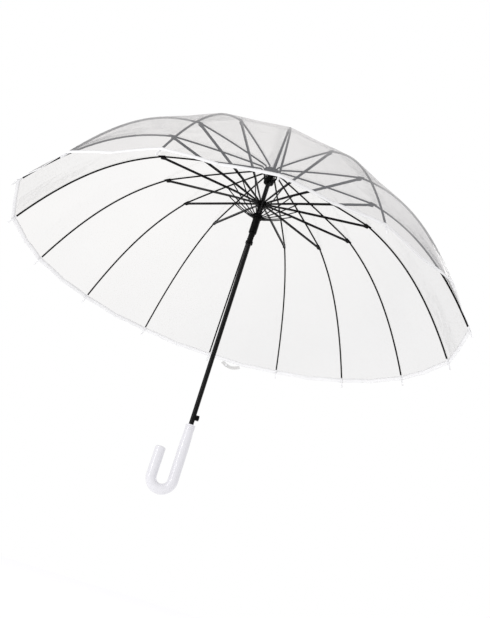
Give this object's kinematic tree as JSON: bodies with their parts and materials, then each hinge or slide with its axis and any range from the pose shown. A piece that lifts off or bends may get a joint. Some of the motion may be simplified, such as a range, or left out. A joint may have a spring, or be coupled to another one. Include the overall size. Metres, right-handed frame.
{
  "type": "stick umbrella",
  "caption": "Clear film stick umbrella that opens with a button: ribs and stretchers fold down the shaft as the runner slides, with a J-shaped handle.",
  "frame": {"origin": "on the shaft's axis where the shaft enters the handle's collar", "axes": "+Z along the shaft towards the crown, -X from the shaft towards the hook of the handle"},
  "size_m": [1.002, 1.002, 0.8001],
  "materials": {
    "rib_black": "gloss black fibreglass rod",
    "stretcher_black": "gloss black painted steel",
    "shaft_black": "gloss black painted steel tube",
    "runner_black": "black moulded plastic",
    "clear_film": "clear soft film with white hem",
    "clear_plastic": "milky clear plastic",
    "handle_white": "gloss white moulded plastic",
    "spring_steel": "dark spring wire"
  },
  "bodies": {
    "stick": {"shaft_tube": "shaft_black", "handle": "handle_white", "handle_collar": "handle_white", "top_notch": "runner_black", "crown_washer": "runner_black", "ferrule": "clear_plastic"},
    "rib_arm_01": {"rib_01": "rib_black", "canopy_panel_01": "clear_film"},
    "rib_arm_02": {"rib_02": "rib_black", "canopy_panel_02": "clear_film"},
    "rib_arm_03": {"rib_03": "rib_black", "canopy_panel_03": "clear_film"},
    "rib_arm_04": {"rib_04": "rib_black", "canopy_panel_04": "clear_film"},
    "rib_arm_05": {"rib_05": "rib_black", "canopy_panel_05": "clear_film", "tie_strap": "clear_plastic"},
    "rib_arm_06": {"rib_06": "rib_black", "canopy_panel_06": "clear_film"},
    "rib_arm_07": {"rib_07": "rib_black", "canopy_panel_07": "clear_film"},
    "rib_arm_08": {"rib_08": "rib_black", "canopy_panel_08": "clear_film"},
    "rib_arm_09": {"rib_09": "rib_black", "canopy_panel_09": "clear_film"},
    "rib_arm_10": {"rib_10": "rib_black", "canopy_panel_10": "clear_film"},
    "rib_arm_11": {"rib_11": "rib_black", "canopy_panel_11": "clear_film"},
    "rib_arm_12": {"rib_12": "rib_black", "canopy_panel_12": "clear_film"},
    "rib_arm_13": {"rib_13": "rib_black", "canopy_panel_13": "clear_film"},
    "rib_arm_14": {"rib_14": "rib_black", "canopy_panel_14": "clear_film"},
    "rib_arm_15": {"rib_15": "rib_black", "canopy_panel_15": "clear_film"},
    "rib_arm_16": {"rib_16": "rib_black", "canopy_panel_16": "clear_film"},
    "stretcher_arm_01": {"stretcher_01": "stretcher_black"},
    "stretcher_arm_02": {"stretcher_02": "stretcher_black"},
    "stretcher_arm_03": {"stretcher_03": "stretcher_black"},
    "stretcher_arm_04": {"stretcher_04": "stretcher_black"},
    "stretcher_arm_05": {"stretcher_05": "stretcher_black"},
    "stretcher_arm_06": {"stretcher_06": "stretcher_black"},
    "stretcher_arm_07": {"stretcher_07": "stretcher_black"},
    "stretcher_arm_08": {"stretcher_08": "stretcher_black"},
    "stretcher_arm_09": {"stretcher_09": "stretcher_black"},
    "stretcher_arm_10": {"stretcher_10": "stretcher_black"},
    "stretcher_arm_11": {"stretcher_11": "stretcher_black"},
    "stretcher_arm_12": {"stretcher_12": "stretcher_black"},
    "stretcher_arm_13": {"stretcher_13": "stretcher_black"},
    "stretcher_arm_14": {"stretcher_14": "stretcher_black"},
    "stretcher_arm_15": {"stretcher_15": "stretcher_black"},
    "stretcher_arm_16": {"stretcher_16": "stretcher_black"},
    "upper_runner": {"runner": "runner_black", "main_spring": "spring_steel"},
    "lower_slider": {"lower_runner": "runner_black", "spring_struts": "spring_steel"},
    "button": {"open_button": "runner_black"}
  },
  "joints": [
    {"name": "fold", "type": "hinge", "parent": "stick", "child": "rib_arm_01", "pos_m": [0.00999, 0.00052, 0.588], "axis": [-0.0523, 0.9986, 0], "range_deg": [0, 80], "stiffness_Nm_per_rad": 0.12, "springref_deg": -91.67, "deforming": ["rib_01", "canopy_panel_01"]},
    {"name": "fold_rib_02", "type": "hinge", "parent": "stick", "child": "rib_arm_02", "pos_m": [0.00903, 0.00431, 0.588], "axis": [-0.4305, 0.9026, 0], "range_deg": [0, 80], "stiffness_Nm_per_rad": 0.12, "springref_deg": -91.67, "deforming": ["rib_02", "canopy_panel_02"]},
    {"name": "fold_rib_03", "type": "hinge", "parent": "stick", "child": "rib_arm_03", "pos_m": [0.00669, 0.00743, 0.588], "axis": [-0.7431, 0.6691, 0], "range_deg": [0, 80], "stiffness_Nm_per_rad": 0.12, "springref_deg": -91.67, "deforming": ["rib_03", "canopy_panel_03"]},
    {"name": "fold_rib_04", "type": "hinge", "parent": "stick", "child": "rib_arm_04", "pos_m": [0.00334, 0.00943, 0.588], "axis": [-0.9426, 0.3338, 0], "range_deg": [0, 80], "stiffness_Nm_per_rad": 0.12, "springref_deg": -91.67, "deforming": ["rib_04", "canopy_panel_04"]},
    {"name": "fold_rib_05", "type": "hinge", "parent": "stick", "child": "rib_arm_05", "pos_m": [-0.00052, 0.00999, 0.588], "axis": [-0.9986, -0.0523, 0], "range_deg": [0, 80], "stiffness_Nm_per_rad": 0.12, "springref_deg": -91.67, "deforming": ["rib_05", "canopy_panel_05", "tie_strap"]},
    {"name": "fold_rib_06", "type": "hinge", "parent": "stick", "child": "rib_arm_06", "pos_m": [-0.00431, 0.00903, 0.588], "axis": [-0.9026, -0.4305, 0], "range_deg": [0, 80], "stiffness_Nm_per_rad": 0.12, "springref_deg": -91.67, "deforming": ["rib_06", "canopy_panel_06"]},
    {"name": "fold_rib_07", "type": "hinge", "parent": "stick", "child": "rib_arm_07", "pos_m": [-0.00743, 0.00669, 0.588], "axis": [-0.6691, -0.7431, 0], "range_deg": [0, 80], "stiffness_Nm_per_rad": 0.12, "springref_deg": -91.67, "deforming": ["rib_07", "canopy_panel_07"]},
    {"name": "fold_rib_08", "type": "hinge", "parent": "stick", "child": "rib_arm_08", "pos_m": [-0.00943, 0.00334, 0.588], "axis": [-0.3338, -0.9426, 0], "range_deg": [0, 80], "stiffness_Nm_per_rad": 0.12, "springref_deg": -91.67, "deforming": ["rib_08", "canopy_panel_08"]},
    {"name": "fold_rib_09", "type": "hinge", "parent": "stick", "child": "rib_arm_09", "pos_m": [-0.00999, -0.00052, 0.588], "axis": [0.0523, -0.9986, 0], "range_deg": [0, 80], "stiffness_Nm_per_rad": 0.12, "springref_deg": -91.67, "deforming": ["rib_09", "canopy_panel_09"]},
    {"name": "fold_rib_10", "type": "hinge", "parent": "stick", "child": "rib_arm_10", "pos_m": [-0.00903, -0.00431, 0.588], "axis": [0.4305, -0.9026, 0], "range_deg": [0, 80], "stiffness_Nm_per_rad": 0.12, "springref_deg": -91.67, "deforming": ["rib_10", "canopy_panel_10"]},
    {"name": "fold_rib_11", "type": "hinge", "parent": "stick", "child": "rib_arm_11", "pos_m": [-0.00669, -0.00743, 0.588], "axis": [0.7431, -0.6691, 0], "range_deg": [0, 80], "stiffness_Nm_per_rad": 0.12, "springref_deg": -91.67, "deforming": ["rib_11", "canopy_panel_11"]},
    {"name": "fold_rib_12", "type": "hinge", "parent": "stick", "child": "rib_arm_12", "pos_m": [-0.00334, -0.00943, 0.588], "axis": [0.9426, -0.3338, 0], "range_deg": [0, 80], "stiffness_Nm_per_rad": 0.12, "springref_deg": -91.67, "deforming": ["rib_12", "canopy_panel_12"]},
    {"name": "fold_rib_13", "type": "hinge", "parent": "stick", "child": "rib_arm_13", "pos_m": [0.00052, -0.00999, 0.588], "axis": [0.9986, 0.0523, 0], "range_deg": [0, 80], "stiffness_Nm_per_rad": 0.12, "springref_deg": -91.67, "deforming": ["rib_13", "canopy_panel_13"]},
    {"name": "fold_rib_14", "type": "hinge", "parent": "stick", "child": "rib_arm_14", "pos_m": [0.00431, -0.00903, 0.588], "axis": [0.9026, 0.4305, 0], "range_deg": [0, 80], "stiffness_Nm_per_rad": 0.12, "springref_deg": -91.67, "deforming": ["rib_14", "canopy_panel_14"]},
    {"name": "fold_rib_15", "type": "hinge", "parent": "stick", "child": "rib_arm_15", "pos_m": [0.00743, -0.00669, 0.588], "axis": [0.6691, 0.7431, 0], "range_deg": [0, 80], "stiffness_Nm_per_rad": 0.12, "springref_deg": -91.67, "deforming": ["rib_15", "canopy_panel_15"]},
    {"name": "fold_rib_16", "type": "hinge", "parent": "stick", "child": "rib_arm_16", "pos_m": [0.00943, -0.00334, 0.588], "axis": [0.3338, 0.9426, 0], "range_deg": [0, 80], "stiffness_Nm_per_rad": 0.12, "springref_deg": -91.67, "deforming": ["rib_16", "canopy_panel_16"]},
    {"name": "fold_stretcher_01", "type": "hinge", "parent": "rib_arm_01", "child": "stretcher_arm_01", "pos_m": [0.24666, 0.01293, 0.559], "axis": [-0.0523, 0.9986, 0], "range_deg": [-160, 0]},
    {"name": "fold_stretcher_02", "type": "hinge", "parent": "rib_arm_02", "child": "stretcher_arm_02", "pos_m": [0.22294, 0.10634, 0.559], "axis": [-0.4305, 0.9026, 0], "range_deg": [-160, 0]},
    {"name": "fold_stretcher_03", "type": "hinge", "parent": "rib_arm_03", "child": "stretcher_arm_03", "pos_m": [0.16528, 0.18356, 0.559], "axis": [-0.7431, 0.6691, 0], "range_deg": [-160, 0]},
    {"name": "fold_stretcher_04", "type": "hinge", "parent": "rib_arm_04", "child": "stretcher_arm_04", "pos_m": [0.08245, 0.23283, 0.559], "axis": [-0.9426, 0.3338, 0], "range_deg": [-160, 0]},
    {"name": "fold_stretcher_05", "type": "hinge", "parent": "rib_arm_05", "child": "stretcher_arm_05", "pos_m": [-0.01293, 0.24666, 0.559], "axis": [-0.9986, -0.0523, 0], "range_deg": [-160, 0]},
    {"name": "fold_stretcher_06", "type": "hinge", "parent": "rib_arm_06", "child": "stretcher_arm_06", "pos_m": [-0.10634, 0.22294, 0.559], "axis": [-0.9026, -0.4305, 0], "range_deg": [-160, 0]},
    {"name": "fold_stretcher_07", "type": "hinge", "parent": "rib_arm_07", "child": "stretcher_arm_07", "pos_m": [-0.18356, 0.16528, 0.559], "axis": [-0.6691, -0.7431, 0], "range_deg": [-160, 0]},
    {"name": "fold_stretcher_08", "type": "hinge", "parent": "rib_arm_08", "child": "stretcher_arm_08", "pos_m": [-0.23283, 0.08245, 0.559], "axis": [-0.3338, -0.9426, 0], "range_deg": [-160, 0]},
    {"name": "fold_stretcher_09", "type": "hinge", "parent": "rib_arm_09", "child": "stretcher_arm_09", "pos_m": [-0.24666, -0.01293, 0.559], "axis": [0.0523, -0.9986, 0], "range_deg": [-160, 0]},
    {"name": "fold_stretcher_10", "type": "hinge", "parent": "rib_arm_10", "child": "stretcher_arm_10", "pos_m": [-0.22294, -0.10634, 0.559], "axis": [0.4305, -0.9026, 0], "range_deg": [-160, 0]},
    {"name": "fold_stretcher_11", "type": "hinge", "parent": "rib_arm_11", "child": "stretcher_arm_11", "pos_m": [-0.16528, -0.18356, 0.559], "axis": [0.7431, -0.6691, 0], "range_deg": [-160, 0]},
    {"name": "fold_stretcher_12", "type": "hinge", "parent": "rib_arm_12", "child": "stretcher_arm_12", "pos_m": [-0.08245, -0.23283, 0.559], "axis": [0.9426, -0.3338, 0], "range_deg": [-160, 0]},
    {"name": "fold_stretcher_13", "type": "hinge", "parent": "rib_arm_13", "child": "stretcher_arm_13", "pos_m": [0.01293, -0.24666, 0.559], "axis": [0.9986, 0.0523, 0], "range_deg": [-160, 0]},
    {"name": "fold_stretcher_14", "type": "hinge", "parent": "rib_arm_14", "child": "stretcher_arm_14", "pos_m": [0.10634, -0.22294, 0.559], "axis": [0.9026, 0.4305, 0], "range_deg": [-160, 0]},
    {"name": "fold_stretcher_15", "type": "hinge", "parent": "rib_arm_15", "child": "stretcher_arm_15", "pos_m": [0.18356, -0.16528, 0.559], "axis": [0.6691, 0.7431, 0], "range_deg": [-160, 0]},
    {"name": "fold_stretcher_16", "type": "hinge", "parent": "rib_arm_16", "child": "stretcher_arm_16", "pos_m": [0.23283, -0.08245, 0.559], "axis": [0.3338, 0.9426, 0], "range_deg": [-160, 0]},
    {"name": "fold_runner", "type": "hinge", "parent": "stretcher_arm_01", "child": "upper_runner", "pos_m": [0.00999, 0.00052, 0.53], "axis": [-0.0523, 0.9986, 0], "range_deg": [0, 80]},
    {"name": "strut_slide", "type": "slide", "parent": "upper_runner", "child": "lower_slider", "axis": [0, 0, 1], "range_m": [0, 0.024], "deforming": ["main_spring", "spring_struts"]},
    {"name": "button_press", "type": "slide", "parent": "stick", "child": "button", "axis": [-1, 0, 0], "range_m": [0, 0.0025], "stiffness_N_per_m": 500}
  ],
  "couplings": [
    {"joint": "fold_rib_02", "follows": "fold", "ratio": 1},
    {"joint": "fold_rib_03", "follows": "fold", "ratio": 1},
    {"joint": "fold_rib_04", "follows": "fold", "ratio": 1},
    {"joint": "fold_rib_05", "follows": "fold", "ratio": 1},
    {"joint": "fold_rib_06", "follows": "fold", "ratio": 1},
    {"joint": "fold_rib_07", "follows": "fold", "ratio": 1},
    {"joint": "fold_rib_08", "follows": "fold", "ratio": 1},
    {"joint": "fold_rib_09", "follows": "fold", "ratio": 1},
    {"joint": "fold_rib_10", "follows": "fold", "ratio": 1},
    {"joint": "fold_rib_11", "follows": "fold", "ratio": 1},
    {"joint": "fold_rib_12", "follows": "fold", "ratio": 1},
    {"joint": "fold_rib_13", "follows": "fold", "ratio": 1},
    {"joint": "fold_rib_14", "follows": "fold", "ratio": 1},
    {"joint": "fold_rib_15", "follows": "fold", "ratio": 1},
    {"joint": "fold_rib_16", "follows": "fold", "ratio": 1},
    {"joint": "fold_stretcher_01", "follows": "fold", "ratio": -2},
    {"joint": "fold_stretcher_02", "follows": "fold", "ratio": -2},
    {"joint": "fold_stretcher_03", "follows": "fold", "ratio": -2},
    {"joint": "fold_stretcher_04", "follows": "fold", "ratio": -2},
    {"joint": "fold_stretcher_05", "follows": "fold", "ratio": -2},
    {"joint": "fold_stretcher_06", "follows": "fold", "ratio": -2},
    {"joint": "fold_stretcher_07", "follows": "fold", "ratio": -2},
    {"joint": "fold_stretcher_08", "follows": "fold", "ratio": -2},
    {"joint": "fold_stretcher_09", "follows": "fold", "ratio": -2},
    {"joint": "fold_stretcher_10", "follows": "fold", "ratio": -2},
    {"joint": "fold_stretcher_11", "follows": "fold", "ratio": -2},
    {"joint": "fold_stretcher_12", "follows": "fold", "ratio": -2},
    {"joint": "fold_stretcher_13", "follows": "fold", "ratio": -2},
    {"joint": "fold_stretcher_14", "follows": "fold", "ratio": -2},
    {"joint": "fold_stretcher_15", "follows": "fold", "ratio": -2},
    {"joint": "fold_stretcher_16", "follows": "fold", "ratio": -2},
    {"joint": "fold_runner", "follows": "fold", "ratio": 1},
    {"joint": "strut_slide", "follows": "fold", "m_per_rad": 0.017188}
  ]
}
